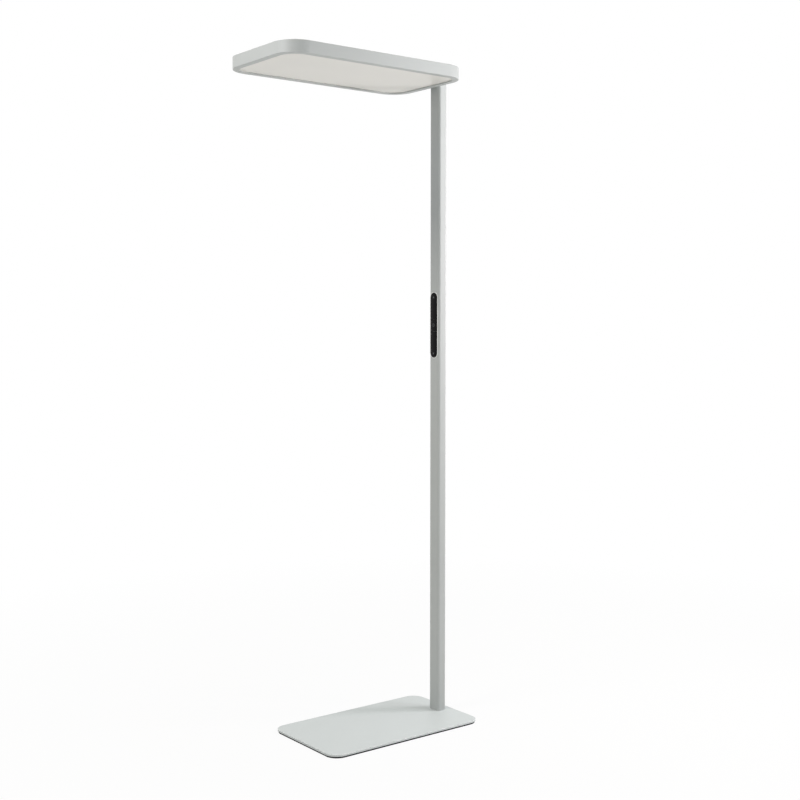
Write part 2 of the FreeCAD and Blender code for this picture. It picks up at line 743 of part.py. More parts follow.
# Head frame: a rounded band with a lip that faces down, and posts for the tray and the cover.
def makeHeadFrame():
    body = newBody("head_frame", y=headCentre, z=headBottom)
    outside = newSketch(body, "XY_Plane")
    addRounded(outside, "headWidth", "headLength", "headCorner")
    pad(body, outside, "headHeight")
    low, high = levelAt("Z", "0"), levelAt("Z", "headHeight")
    dress(body, "Fillet", lambda edge: low(edge) or high(edge), "headEdge")
    inside = newSketch(body, "XY_Plane", "headHeight")
    addRounded(inside, headInnerWidth, headInnerLength, headInnerCorner)
    pocket(body, inside, "(headHeight - lipThickness)")
    opening = newSketch(body, "XY_Plane", "lipThickness")
    addRounded(opening, "(headWidth - 2 * lipWidth)", "(headLength - 2 * lipWidth)",
               "(headCorner - lipWidth)")
    pocket(body, opening, "lipThickness")
    for spots, top in ((trayPosts, trayBottom), (coverPosts, coverBottom)):
        posts = newSketch(body, "XY_Plane", "lipThickness / 2")
        for x, y in spots:
            addRectangle(posts, "postSide", "postSide", x, y)
        pad(body, posts, f"({top} - lipThickness / 2)")
        bores = newSketch(body, "XY_Plane", top)
        for x, y in spots:
            addCircle(bores, "postBore", x, y)
        pocket(body, bores, "smallScrewLength")
    neckHoles(body, "(headWall - headLength / 2)", "headWall")


def makeDiffuser():
    body = newBody("bottom_diffuser", y=headCentre, z=f"({headBottom} + lipThickness)")
    outline = newSketch(body, "XY_Plane")
    addRounded(outline, diffuserWidth, diffuserLength, diffuserCorner)
    pad(body, outline, "diffuserThickness")


def makeGasket():
    body = newBody("diffuser_gasket", y=headCentre, z=f"({headBottom} + {gasketBottom})")
    outside = newSketch(body, "XY_Plane")
    addRounded(outside, diffuserWidth, diffuserLength, diffuserCorner)
    pad(body, outside, "gasketThickness")
    inside = newSketch(body, "XY_Plane")
    addRounded(inside, f"({diffuserWidth} - 2 * gasketWidth)", f"({diffuserLength} - 2 * gasketWidth)",
               f"({diffuserCorner} - gasketWidth)")
    pocket(body, inside, "gasketThickness", backward=True)


# LED tray: a sheet with a skirt that holds the gasket and the diffuser down on the lip.
def makeTray():
    body = newBody("led_tray", y=headCentre, z=headBottom)
    sheetOutline = newSketch(body, "XY_Plane", trayBottom)
    addRounded(sheetOutline, f"({headInnerWidth} - 2 * trayMargin)", f"({headInnerLength} - 2 * trayMargin)",
               f"({headInnerCorner} - trayMargin)")
    pad(body, sheetOutline, "trayThickness")
    skirt = newSketch(body, "XY_Plane", gasketTop)
    for inset in ("traySkirtInset", "(traySkirtInset + trayThickness)"):
        addRounded(skirt, f"({diffuserWidth} - 2 * {inset})", f"({diffuserLength} - 2 * {inset})",
                   f"({diffuserCorner} - {inset})")
    pad(body, skirt, f"({trayTop} - {gasketTop})")
    notches = newSketch(body, "XY_Plane", trayTop)
    for x, y in coverPosts:
        addRectangle(notches, "(postSide + 2 * postNotchGap)", "(postSide + 2 * postNotchGap)", x, y)
    pocket(body, notches, "trayThickness")
    backNotch = newSketch(body, "XY_Plane", trayTop)
    notchDepth = "(backingThickness + neckBoltHeadHeight + backNotchGap)"
    addRectangle(backNotch, "(backingWidth + 2 * trayNotchMargin)", notchDepth,
                 y=f"({headInnerLength} / 2 - {notchDepth} / 2)")
    pocket(body, backNotch, "trayThickness")
    holes = newSketch(body, "XY_Plane", trayTop)
    for x, y in trayPosts:
        addCircle(holes, "postBore + screwGap", x, y)
    pocket(body, holes, "trayThickness")


def makeSmallScrews(label, spots, level):
    body = newBody(label, y=headCentre, z=headBottom)
    addScrews(body, "XY_Plane", level, spots, "postBore", "smallScrewLength", "smallScrewHead",
              "smallScrewHeadHeight")


def spread(body, feature, sketch, counts, pitches):
    # repeats a feature along the sketch's X, then its Y
    repeat = body.newObject("PartDesign::MultiTransform", "Repeat")
    repeat.Originals = [feature]
    steps = []
    for axis, count, pitch in zip(("H_Axis", "V_Axis"), counts, pitches):
        if count:
            step = body.newObject("PartDesign::LinearPattern", "Row")
            step.Direction = (sketch, [axis])
            step.setExpression("Occurrences", bind(count))
            step.setExpression("Length", bind(f"({count} - 1) * {pitch}"))
            steps.append(step)
    repeat.Transformations = steps
    body.Tip = repeat
    doc.recompute()


def makeBoards(label, below, length, pitch, count, centre):
    body = newBody(label, y=f"({headCentre} + {centre})", z=headBottom)
    level = trayBottom if below else trayTop
    outline = newSketch(body, "XY_Plane", level)
    addRectangle(outline, "boardWidth", length, x=f"-({count} - 1) * {pitch} / 2")
    board = pad(body, outline, "boardThickness", backward=below)
    spread(body, board, outline, (count, None), (pitch, None))


def makeLeds(label, below, length, pitch, count, centre):
    ledCount = f"(floor(({length} - 2 * ledFromEnd) / ledPitch) + 1)"
    body = newBody(label, y=f"({headCentre} + {centre})", z=headBottom)
    level = f"({trayBottom} - boardThickness)" if below else f"({trayTop} + boardThickness)"
    outline = newSketch(body, "XY_Plane", level)
    addRectangle(outline, "ledSize", "ledSize", x=f"-({count} - 1) * {pitch} / 2",
                 y=f"-({ledCount} - 1) * ledPitch / 2")
    led = pad(body, outline, "ledHeight", backward=below)
    spread(body, led, outline, (count, ledCount), (pitch, "ledPitch"))


def makeDriver():
    body = newBody("led_driver", y=f"({headBack} - driverFromWall - driverLength / 2)",
                   z=f"({headBottom} + {trayTop})")
    outline = newSketch(body, "XY_Plane")
    addRounded(outline, "driverWidth", "driverLength", "driverCorner")
    pad(body, outline, "driverHeight")
    dress(body, "Chamfer", levelAt("Z", "driverHeight"), "driverBevel")


def makeHeadTerminal():
    body = newBody("head_terminal", x="-terminalSide",
                   y=f"({headBack} - terminalFromWall - terminalLength / 2)", z=f"({headBottom} + {trayTop})")
    outline = newSketch(body, "XY_Plane")
    addRounded(outline, "terminalWidth", "terminalLength", "terminalCorner")
    pad(body, outline, "terminalHeight")


# Top cover: a sheet inside the band with the uplight's window in its front part.
def makeCover():
    body = newBody("top_cover", y=headCentre, z=f"({headBottom} + {coverBottom})")
    outline = newSketch(body, "XY_Plane")
    addRounded(outline, f"({headInnerWidth} - 2 * coverGap)", f"({headInnerLength} - 2 * coverGap)",
               f"({headInnerCorner} - coverGap)")
    pad(body, outline, "coverThickness")
    window = newSketch(body, "XY_Plane")
    addRounded(window, "windowWidth", "windowLength", "windowCorner", y=windowCentre)
    pocket(body, window, "coverThickness", backward=True)
    holes = newSketch(body, "XY_Plane")
    for x, y in coverPosts:
        addCircle(holes, "postBore + screwGap", x, y)
    pocket(body, holes, "coverThickness", backward=True)


def makeWindow():
    body = newBody("uplight_window", y=f"({headCentre} + {windowCentre})",
                   z=f"({headBottom} + {coverBottom})")
    outline = newSketch(body, "XY_Plane")
    addRounded(outline, "(windowWidth + 2 * windowOverlap)", "(windowLength + 2 * windowOverlap)",
               "(windowCorner + windowOverlap)")
    pad(body, outline, "windowThickness", backward=True)


# Control strip. Its bodies stand on the mast's front face, with -Y outward.
# Each key spans a stretch of the keypad's stadium; its switch lies at a height from the centre.
powerHalf = "(powerKeyLength / 2)"
keypadHalf = "(keypadLength / 2)"
keySpans = {
    "up_key": (f"({powerHalf} + keyGap)", keypadHalf, "endKeySwitch"),
    "power_key": (f"-{powerHalf}", powerHalf, "0"),
    "down_key": (f"-{keypadHalf}", f"(-{powerHalf} - keyGap)", "-endKeySwitch"),
}


def hookSpots(name):
    low, high, switch = keySpans[name]
    return [("hookSide", f"({switch} + hookSpacing)"), ("-hookSide", f"({switch} - hookSpacing)")]


def makeHousing():
    body = newBody("control_housing", y=f"-{mastFace}", z="controlCentre")
    tub = newSketch(body, "XZ_Plane", f"-{floorBack}")
    addStadium(tub, tubWidth, tubLength)
    pad(body, tub, f"({floorBack} + rimProud)")
    rim = newSketch(body, "XZ_Plane")
    addStadium(rim, f"({tubWidth} + 2 * rimWidth)", f"({tubLength} + 2 * rimWidth)")
    pad(body, rim, "rimProud")
    dress(body, "Chamfer", levelAt("Y", "-rimProud"), "rimBevel")
    well = newSketch(body, "XZ_Plane", "rimProud")
    addStadium(well, "(keyWidth + 2 * keyClearance)", "(keypadLength + 2 * keyClearance)")
    pocket(body, well, f"(rimProud + {floorDepth})")
    windows = newSketch(body, "XZ_Plane", f"-{floorDepth}")
    for name, (low, high, switch) in keySpans.items():
        addRectangle(windows, "(stemSide + 2 * windowGap)", "(stemSide + 2 * windowGap)", y=switch)
        for x, z in hookSpots(name):
            addRectangle(windows, "(hookThickness + 2 * hookBarb + 2 * windowGap)",
                         "(hookWidth + 2 * windowGap)", x, z)
    pocket(body, windows, "floorThickness")
    bosses = newSketch(body, "XZ_Plane", f"-{floorBack}")
    for x, z in bossSpots:
        addCircle(bosses, "bossRadius", x, z)
    pad(body, bosses, "bossHeight", backward=True)
    bores = newSketch(body, "XZ_Plane", f"-{circuitFront}")
    for x, z in bossSpots:
        addCircle(bores, "circuitScrewRadius", x, z)
    pocket(body, bores, "(circuitScrewLength - circuitThickness + circuitBoreExtra)", backward=True)
    catches = newSketch(body, "XZ_Plane", "-(mastWall + catchGap)")
    reach = "(catchReach + slidingGap + tubWall)"
    for sign in ("", "-"):
        addRectangle(catches, "catchWidth", reach, y=f"{sign}({tubLength} / 2 - tubWall + {reach} / 2)")
    pad(body, catches, f"({floorBack} - mastWall - catchGap)", backward=True)


def addCrownCutter(sketch):
    # everything in front of the crown's arc, across the key
    half, sag = value("keyWidth / 2"), value("keyCrown")
    radius = (half * half + sag * sag) / (2 * sag)
    apex = -value("keyProud")
    reach = half + value("cutOverrun")
    drop = radius - math.sqrt(radius * radius - reach * reach)
    swing = math.degrees(math.asin(reach / radius))
    crown = addArc(sketch, (0, apex + radius), radius, 270 - swing, 270 + swing)
    front = apex - value("cutOverrun")
    right = addLine(sketch, (reach, apex + drop), (reach, front))
    far = addLine(sketch, (reach, front), (-reach, front))
    left = addLine(sketch, (-reach, front), (-reach, apex + drop))
    join(sketch, "Coincident", crown, 2, right, 1)
    join(sketch, "Coincident", right, 2, far, 1)
    join(sketch, "Coincident", far, 2, left, 1)
    join(sketch, "Coincident", left, 2, crown, 1)
    join(sketch, "Vertical", right)
    join(sketch, "Vertical", left)
    join(sketch, "Horizontal", far)
    radiusText = "((keyWidth * keyWidth / 4 + keyCrown * keyCrown) / (2 * keyCrown))"
    measure(sketch, "Radius", (crown,), radiusText)
    measure(sketch, "DistanceX", (-1, 1, crown, 3), "0")
    measure(sketch, "DistanceY", (-1, 1, crown, 3), f"{radiusText} - keyProud")
    measure(sketch, "DistanceX", (far, 2, far, 1), "keyWidth + 2 * cutOverrun")
    measure(sketch, "DistanceX", (-1, 1, right, 1), "keyWidth / 2 + cutOverrun")
    measure(sketch, "DistanceY", (-1, 1, far, 1), "-keyProud - cutOverrun")
    return radius


def makeKey(name):
    low, high, switch = keySpans[name]
    body = newBody(name, y=f"-{mastFace}", z="controlCentre")
    outline = newSketch(body, "XZ_Plane", "-keySkirt")
    addStadium(outline, "keyWidth", "keypadLength")
    pad(body, outline, "(keySkirt + keyProud)")
    trim = newSketch(body, "XZ_Plane", "-keySkirt")
    end = f"({keypadHalf} + cutOverrun)"
    if high != keypadHalf:
        addRectangle(trim, "2 * keyWidth", f"({end} - {high})", y=f"({high} + {end}) / 2")
    if low != f"-{keypadHalf}":
        addRectangle(trim, "2 * keyWidth", f"({low} + {end})", y=f"({low} - {end}) / 2")
    pocket(body, trim, "(keySkirt + keyProud)", backward=True)
    side = value("keyWidth / 2")
    ends = [value(end) for end in (low, high) if end not in (keypadHalf, f"-{keypadHalf}")]

    def cornerEdge(edge):
        box = edge.BoundBox
        level = any(abs(box.ZMin - end) < 1e-4 and abs(box.ZMax - end) < 1e-4 for end in ends)
        return level and abs(abs(box.Center.x) - side) < 1e-4 and box.YLength > 1

    dress(body, "Fillet", cornerEdge, "keyCorner")
    crown = newSketch(body, "XY_Plane", f"-{end}")
    radius = addCrownCutter(crown)
    pocket(body, crown, f"2 * {end}", backward=True)
    tip = body.Tip.Shape
    crownFaces = [face for face in tip.Faces
                  if face.Surface.TypeId == "Part::GeomCylinder" and abs(face.Surface.Radius - radius) < 1e-3]
    crownEdges = [edge for face in crownFaces for edge in face.Edges]
    dress(body, "Fillet", lambda edge: any(edge.isSame(other) for other in crownEdges), "keyEdge")
    roof = "(keyProud - keyRoof)"
    straightLow = low if low != f"-{keypadHalf}" else f"(-{keypadHalf} + keyWidth / 2)"
    straightHigh = high if high != keypadHalf else f"({keypadHalf} - keyWidth / 2)"
    cavity = newSketch(body, "XZ_Plane", "-keySkirt")
    addRounded(cavity, "(keyWidth - 2 * keyWall)", f"({straightHigh} - {straightLow} - 2 * keyWall)",
               "keyInnerCorner", y=f"({straightHigh} + {straightLow}) / 2")
    pocket(body, cavity, f"(keySkirt + {roof})", backward=True)
    stem = newSketch(body, "XZ_Plane", f"-{actuatorFront}")
    addRectangle(stem, "stemSide", "stemSide", y=switch)
    pad(body, stem, f"({actuatorFront} + {roof} + keyRootOverlap)")
    barbLevel = f"({floorBack} + hookGap)"
    legs = newSketch(body, "XZ_Plane", f"-{barbLevel} - hookBarbHeight")
    barbs = newSketch(body, "XZ_Plane", f"-{barbLevel} - hookBarbHeight")
    for x, z in hookSpots(name):
        outer = "+" if x == "hookSide" else "-"
        addRectangle(legs, "hookThickness", "hookWidth", x, z)
        addRectangle(barbs, "(hookThickness + hookBarb)", "hookWidth", f"{x} {outer} hookBarb / 2", z)
    pad(body, legs, f"({barbLevel} + hookBarbHeight + {roof} + keyRootOverlap)")
    pad(body, barbs, "hookBarbHeight")


def makeCircuit():
    body = newBody("control_board", y=f"-{mastFace}", z="controlCentre")
    outline = newSketch(body, "XZ_Plane", f"-{circuitBack}")
    addRounded(outline, "circuitWidth", "circuitLength", "circuitCorner")
    pad(body, outline, "circuitThickness")
    holes = newSketch(body, "XZ_Plane", f"-{circuitFront}")
    for x, z in bossSpots:
        addCircle(holes, "circuitScrewRadius + screwGap", x, z)
    pocket(body, holes, "circuitThickness")


def makeCircuitScrews():
    body = newBody("board_screws", y=f"({circuitBack} - {mastFace})", z="controlCentre")
    addScrews(body, "XZ_Plane", "0", bossSpots, "circuitScrewRadius", "circuitScrewLength",
              "circuitScrewHead", "smallScrewHeadHeight", outward=False)


def makePlug():
    body = newBody("board_plug", x="controlLeadSide", y=f"({circuitBack} - {mastFace})",
                   z="(controlCentre + plugFromCentre)")
    outline = newSketch(body, "XZ_Plane")
    addRectangle(outline, "plugWidth", "plugHeight")
    pad(body, outline, "plugDepth", backward=True)


def makeSwitches():
    body = newBody("switch_bodies", y=f"-{mastFace}", z="controlCentre")
    cases = newSketch(body, "XZ_Plane", f"-{circuitFront}")
    bores = newSketch(body, "XZ_Plane", f"-{switchFront}")
    for low, high, switch in keySpans.values():
        addRectangle(cases, "switchSide", "switchSide", y=switch)
        addCircle(bores, "switchBore", "0", switch)
    pad(body, cases, "switchHeight")
    pocket(body, bores, "(actuatorGrip + keyTravel + switchGap)")


def makeActuator(label, switch):
    body = newBody(label, y=f"-{mastFace}", z=f"(controlCentre + {switch})")
    outline = newSketch(body, "XZ_Plane", f"-{actuatorFront}")
    addCircle(outline, "actuatorRadius")
    pad(body, outline, "(keyTravel + switchGap + actuatorGrip)", backward=True)


makeMat()
makeBasePlate()
makeFootBlock()
makeFootScrews()
makeSideScrews("mast_foot_screws", footSideHeight)
makeMast()
makeSideScrews("bracket_screws", bracketSideHeight)
makeCap()
makeCapScrews()
makeGland()
makeGlandNut()
makeInletTerminal()
makeLead("supply_lead", "-supplyLeadSide", "0", f"({plateTop} + footBlockHeight + inletHeight)",
         lambda section: addCircle(section, "supplyLeadRadius"), "supplyLeadBend",
         f"({headBack} - terminalFromWall)")
plugTop = "(controlCentre + plugFromCentre + plugHeight / 2)"
plugMiddle = f"({circuitBack} + plugDepth / 2 - {mastFace})"
makeLead("control_lead", "controlLeadSide", plugMiddle, plugTop,
         lambda section: addRectangle(section, "controlLeadWidth", "controlLeadThickness"),
         "controlLeadBend", f"({headBack} - driverFromWall)")
makeBracket()
makeBackingPlate()
makeNeckBolts()
makeHeadFrame()
makeDiffuser()
makeGasket()
makeTray()
makeSmallScrews("tray_screws", trayPosts, trayTop)
for make, piece in ((makeBoards, "boards"), (makeLeds, "leds")):
    make(f"downlight_{piece}", True, downBoardLength, downBoardPitch, "downBoardCount", "0")
    make(f"uplight_{piece}", False, upBoardLength, upBoardPitch, "upBoardCount", windowCentre)
makeDriver()
makeHeadTerminal()
makeCover()
makeWindow()
makeSmallScrews("cover_screws", coverPosts, coverTop)
makeHousing()
for keyName in keySpans:
    makeKey(keyName)
makeCircuit()
makeCircuitScrews()
makePlug()
makeSwitches()
for keyName, span in keySpans.items():
    makeActuator(keyName.replace("key", "actuator"), span[2])

doc.recompute()

# No object may have failed, and every sub-part must be sound, before anything is written.
for item in doc.Objects:
    if "Invalid" in item.State or "Error" in item.State:
        raise ValueError(f"{item.Label} failed: {item.State}")
bodies = [item for item in doc.Objects if item.TypeId == "PartDesign::Body"]
for body in bodies:
    if body.Shape.isNull() or not body.Shape.isValid() or not body.Shape.Solids:
        raise ValueError(f"{body.Label} has no sound shape")

os.makedirs("parts", exist_ok=True)
for body in bodies:
    body.Shape.exportStep(f"parts/{body.Label}.step")
    print(f"{body.Label}: {len(body.Shape.Solids)} solids, {body.Shape.Volume:.0f} mm3")
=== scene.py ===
import bpy
import json
import math
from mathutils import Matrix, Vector


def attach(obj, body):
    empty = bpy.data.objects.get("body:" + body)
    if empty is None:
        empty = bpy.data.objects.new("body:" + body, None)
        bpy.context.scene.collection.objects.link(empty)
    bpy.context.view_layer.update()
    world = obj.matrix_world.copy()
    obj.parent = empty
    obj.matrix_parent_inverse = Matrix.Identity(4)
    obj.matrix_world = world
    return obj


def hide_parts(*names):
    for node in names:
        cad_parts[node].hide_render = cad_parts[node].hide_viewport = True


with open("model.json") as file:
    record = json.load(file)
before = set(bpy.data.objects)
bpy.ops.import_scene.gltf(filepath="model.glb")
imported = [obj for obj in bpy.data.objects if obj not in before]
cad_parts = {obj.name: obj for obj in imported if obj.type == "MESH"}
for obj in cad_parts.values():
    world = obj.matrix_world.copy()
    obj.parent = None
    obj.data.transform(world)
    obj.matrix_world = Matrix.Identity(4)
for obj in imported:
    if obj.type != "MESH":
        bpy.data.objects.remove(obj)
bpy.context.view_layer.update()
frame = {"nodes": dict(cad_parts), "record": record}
nodes = frame["nodes"]
mm = 0.001
print("frame loaded:", len(nodes), "nodes")


def toLinear(hexText):
    # sRGB hex to the linear channels that a shader takes, with full alpha
    channels = [int(hexText[i:i + 2], 16) / 255 for i in (1, 3, 5)]
    linear = [c / 12.92 if c <= 0.04045 else ((c + 0.055) / 1.055) ** 2.4 for c in channels]
    return linear + [1]


def addNode(tree, kind, settings=None, links=None):
    # settings: attributes or input values; links: input name to the socket that feeds it
    node = tree.nodes.new(kind)
    for key, setting in (settings or {}).items():
        if isinstance(key, str) and hasattr(node, key):
            setattr(node, key, setting)
        else:
            node.inputs[key].default_value = setting
    for key, socket in (links or {}).items():
        tree.links.new(socket, node.inputs[key])
    return node


def perMetre(sizeMm):
    # the noise scale whose cells are about this many millimetres wide
    return 1 / (sizeMm * mm)


# the numbers of the Mix node's sockets when it mixes colours
mixFactor, mixLow, mixHigh, mixResult = 0, 6, 7, 2
noiseDetail = {"patches": 2, "grain": 3}


def makeFinish(name, look):
    # patches are the slow drift in tone, grain is the fine relief that breaks up the highlight
    material = bpy.data.materials.new(name)
    material.use_nodes = True
    tree = material.node_tree
    tree.nodes.clear()
    coords = addNode(tree, "ShaderNodeTexCoord")
    place = addNode(tree, "ShaderNodeMapping", {"Scale": look.get("stretch", (1, 1, 1))},
                    {"Vector": coords.outputs["Object"]})
    patches = addNode(tree, "ShaderNodeTexNoise",
                      {"Scale": perMetre(look["patchMm"]), "Detail": noiseDetail["patches"]},
                      {"Vector": place.outputs[0]})
    grain = addNode(tree, "ShaderNodeTexNoise",
                    {"Scale": perMetre(look["grainMm"]), "Detail": noiseDetail["grain"]},
                    {"Vector": place.outputs[0]})
    low, high = look["colours"]
    tone = addNode(tree, "ShaderNodeMix",
                   {"data_type": "RGBA", mixLow: toLinear(low), mixHigh: toLinear(high)},
                   {mixFactor: patches.outputs["Fac"]})
    least, most = look["roughness"]
    gloss = addNode(tree, "ShaderNodeMapRange", {"To Min": least, "To Max": most},
                    {"Value": grain.outputs["Fac"]})
    relief = addNode(tree, "ShaderNodeBump",
                     {"Strength": look["bump"], "Distance": look["reliefMm"] * mm},
                     {"Height": grain.outputs["Fac"]})
    shader = addNode(tree, "ShaderNodeBsdfPrincipled", look["shader"],
                     {"Base Color": tone.outputs[mixResult], "Roughness": gloss.outputs[0],
                      "Normal": relief.outputs[0]})
    addNode(tree, "ShaderNodeOutputMaterial", links={"Surface": shader.outputs[0]})
    return material


finishes = {
    # polyester powder coat on extruded aluminium: its orange peel gives a soft, broken highlight
    "powderCoatedAluminium": {"colours": ("#BABEBD", "#BEC2C1"), "patchMm": 70, "grainMm": 1.6,
                              "roughness": (0.4, 0.52), "bump": 0.3, "reliefMm": 0.06,
                              "shader": {"IOR": 1.5}},
    # the same coat, a little lighter, over laser-cut steel plate
    "powderCoatedSteel": {"colours": ("#CBD1D2", "#CFD5D6"), "patchMm": 90, "grainMm": 1.8,
                          "roughness": (0.42, 0.54), "bump": 0.3, "reliefMm": 0.07,
                          "shader": {"IOR": 1.5}},
    # injection-moulded ABS with a fine spark-eroded texture: an even, dry sheen
    "mouldedGreyAbs": {"colours": ("#B4B8B8", "#B9BCBC"), "patchMm": 25, "grainMm": 0.6,
                       "roughness": (0.45, 0.6), "bump": 0.35, "reliefMm": 0.03,
                       "shader": {"IOR": 1.53}},
    # the same ABS in white for the bezel round the keys; the white is a painted highlight, a thin
    # bright line against the black in place of the light on the bezel's edge
    "mouldedWhiteAbs": {"colours": ("#F0F2F1", "#F4F5F4"), "patchMm": 25, "grainMm": 0.6,
                        "roughness": (0.35, 0.5), "bump": 0.25, "reliefMm": 0.02,
                        "shader": {"IOR": 1.53}},
    # black ABS keys with a low sheen: a faint highlight along the crown and slight finger haze
    "polishedBlackAbs": {"colours": ("#08090A", "#0C0D0E"), "patchMm": 9, "grainMm": 0.5,
                         "roughness": (0.24, 0.36), "bump": 0.2, "reliefMm": 0.01,
                         "shader": {"IOR": 1.53, "Specular IOR Level": 0.08}},
    # EPDM foam rubber, die-cut: closed cells make it dead matt. Its near-black colour also stands
    # in for the shade in the gap under the base plate: painted shade
    "foamRubber": {"colours": ("#1B1B1C", "#242425"), "patchMm": 12, "grainMm": 0.8,
                   "roughness": (0.85, 0.95), "bump": 0.5, "reliefMm": 0.15,
                   "shader": {"IOR": 1.45}},
    # opal cast acrylic with a satin face: light sinks in a little, so its edges look soft
    "opalAcrylic": {"colours": ("#EBEAE5", "#EEEDE8"), "patchMm": 120, "grainMm": 0.9,
                    "roughness": (0.34, 0.42), "bump": 0.12, "reliefMm": 0.02,
                    "shader": {"IOR": 1.49, "Subsurface Weight": 0.15, "Subsurface Scale": 0.002,
                               "Subsurface Radius": (1, 1, 0.9)}},
    # extruded clear acrylic over the uplight: see-through, with a faint waviness from the die
    "clearAcrylic": {"colours": ("#F7FAFA", "#FBFDFD"), "patchMm": 40, "grainMm": 6,
                     "roughness": (0.02, 0.06), "bump": 0.1, "reliefMm": 0.05,
                     "shader": {"IOR": 1.49, "Transmission Weight": 1.0}},
    # sawn and drilled aluminium bar: bright, with fine saw lines across it
    "sawnAluminium": {"colours": ("#BDBEC0", "#CBCCCE"), "patchMm": 6, "grainMm": 1.2,
                      "roughness": (0.3, 0.5), "bump": 0.4, "reliefMm": 0.05, "stretch": (1, 1, 5),
                      "shader": {"Metallic": 1.0}},
    # steel with clear zinc plating: a cool grey metal, slightly clouded
    "zincPlatedSteel": {"colours": ("#B4B7BA", "#C9CBCC"), "patchMm": 3, "grainMm": 0.5,
                        "roughness": (0.26, 0.42), "bump": 0.2, "reliefMm": 0.01,
                        "shader": {"Metallic": 1.0}},
    # white gloss enamel baked on steel sheet: the reflector behind the light boards
    "whiteEnamel": {"colours": ("#ECECEA", "#F1F1EF"), "patchMm": 60, "grainMm": 2,
                    "roughness": (0.25, 0.35), "bump": 0.15, "reliefMm": 0.03,
                    "shader": {"IOR": 1.5}},
    # grey polyethylene foam tape: matt, with visible cells
    "foamTape": {"colours": ("#BCBCB8", "#C6C6C2"), "patchMm": 8, "grainMm": 0.7,
                 "roughness": (0.8, 0.95), "bump": 0.6, "reliefMm": 0.12, "shader": {"IOR": 1.45}},
    # white solder mask on a glass-fibre board: the weave just shows through the lacquer
    "whiteSolderMask": {"colours": ("#E2E4E0", "#E8EAE6"), "patchMm": 20, "grainMm": 0.6,
                        "roughness": (0.3, 0.42), "bump": 0.25, "reliefMm": 0.02,
                        "shader": {"IOR": 1.5}},
    # green solder mask over copper: a deep, wet-looking green with a soft sheen
    "greenSolderMask": {"colours": ("#14532D", "#1A6236"), "patchMm": 7, "grainMm": 0.6,
                        "roughness": (0.25, 0.38), "bump": 0.25, "reliefMm": 0.02,
                        "shader": {"IOR": 1.5}},
    # phosphor under clear silicone on each light-emitting package: glossy, egg-yolk yellow
    "phosphorSilicone": {"colours": ("#E9CF67", "#F2DC86"), "patchMm": 2, "grainMm": 0.4,
                         "roughness": (0.2, 0.3), "bump": 0.1, "reliefMm": 0.02,
                         "shader": {"IOR": 1.41, "Coat Weight": 0.5}},
    # glass-filled polyamide housings of the driver and the terminals: off-white, slightly streaked
    "whitePolyamide": {"colours": ("#D6D6D0", "#DFDFD9"), "patchMm": 11, "grainMm": 0.7,
                       "roughness": (0.42, 0.58), "bump": 0.3, "reliefMm": 0.02,
                       "shader": {"IOR": 1.53}},
    # black glass-filled polyamide of glands and switch bodies: a dull, faintly grainy black
    "blackPolyamide": {"colours": ("#161616", "#202021"), "patchMm": 8, "grainMm": 0.6,
                       "roughness": (0.45, 0.62), "bump": 0.35, "reliefMm": 0.03,
                       "shader": {"IOR": 1.53}},
    # soft PVC sheath, extruded: smooth, with slow ripples along it
    "pvcSheath": {"colours": ("#D2D3D1", "#DADBD9"), "patchMm": 30, "grainMm": 3,
                  "roughness": (0.42, 0.52), "bump": 0.15, "reliefMm": 0.05,
                  "stretch": (1, 1, 0.3), "shader": {"IOR": 1.54}},
    # pad-printed ink on the keys: flat dark grey with a slightly ragged gloss
    "printedInk": {"colours": ("#4C4F50", "#585C5D"), "patchMm": 3, "grainMm": 0.4,
                   "roughness": (0.4, 0.55), "bump": 0.1, "reliefMm": 0.005,
                   "shader": {"IOR": 1.5}},
}
materials = {name: makeFinish(name, look) for name, look in finishes.items()}

slotFinishes = {
    "light_paint": "powderCoatedAluminium", "base_paint": "powderCoatedSteel",
    # the mat under the base plate is rubber, and its near-black is partly painted shade under the
    # plate's edge
    "grey_plastic": "mouldedGreyAbs", "mat_rubber": "foamRubber", "opal": "opalAcrylic",
    "clear_cover": "clearAcrylic", "key_black": "polishedBlackAbs",
    "raw_aluminium": "sawnAluminium", "zinc_steel": "zincPlatedSteel",
    "tray_white": "whiteEnamel", "gasket_foam": "foamTape",
    "board_white": "whiteSolderMask", "board_green": "greenSolderMask",
    "led_yellow": "phosphorSilicone", "driver_case": "whitePolyamide",
    "terminal_plastic": "whitePolyamide", "black_plastic": "blackPolyamide",
    "lead_sheath": "pvcSheath",
}
# painted highlight: the rim of the control housing is white, so that it shows as a light line
# beside the keys in place of the light on its edge
ownFinishes = {"control_housing": "mouldedWhiteAbs"}
nodeSlots = {part["node"]: part["material_slot"] for part in frame["record"]["subparts"]}
for name, node in nodes.items():
    for slot in node.material_slots:
        slot.material = materials[ownFinishes.get(name, slotFinishes[nodeSlots[name]])]
print("finishes set:", len(materials))


def pick(piece, kind, chosen):
    # the corners, edges or faces that pass the test are selected, and edit mode stays open
    bpy.ops.object.mode_set(mode="EDIT")
    bpy.ops.mesh.select_mode(type=kind)
    bpy.ops.mesh.select_all(action="DESELECT")
    bpy.ops.object.mode_set(mode="OBJECT")
    mesh = piece.data
    parts = {"VERT": mesh.vertices, "EDGE": mesh.edges, "FACE": mesh.polygons}[kind]
    for part in parts:
        part.select = chosen(part)
    bpy.ops.object.mode_set(mode="EDIT")


def selectOnly(piece):
    bpy.ops.object.select_all(action="DESELECT")
    piece.select_set(True)
    bpy.context.view_layer.objects.active = piece


# every piece is drawn in millimetres, and setPiece scales it
weldGap = 0.001
smoothAngle = math.radians(35)
bandCorners = 50  # leaves no corner on the X axis, so each one belongs to one half of the band
toFront = math.pi / 2  # tips a piece that was drawn facing up, so that it faces the front
toRear = -math.pi / 2


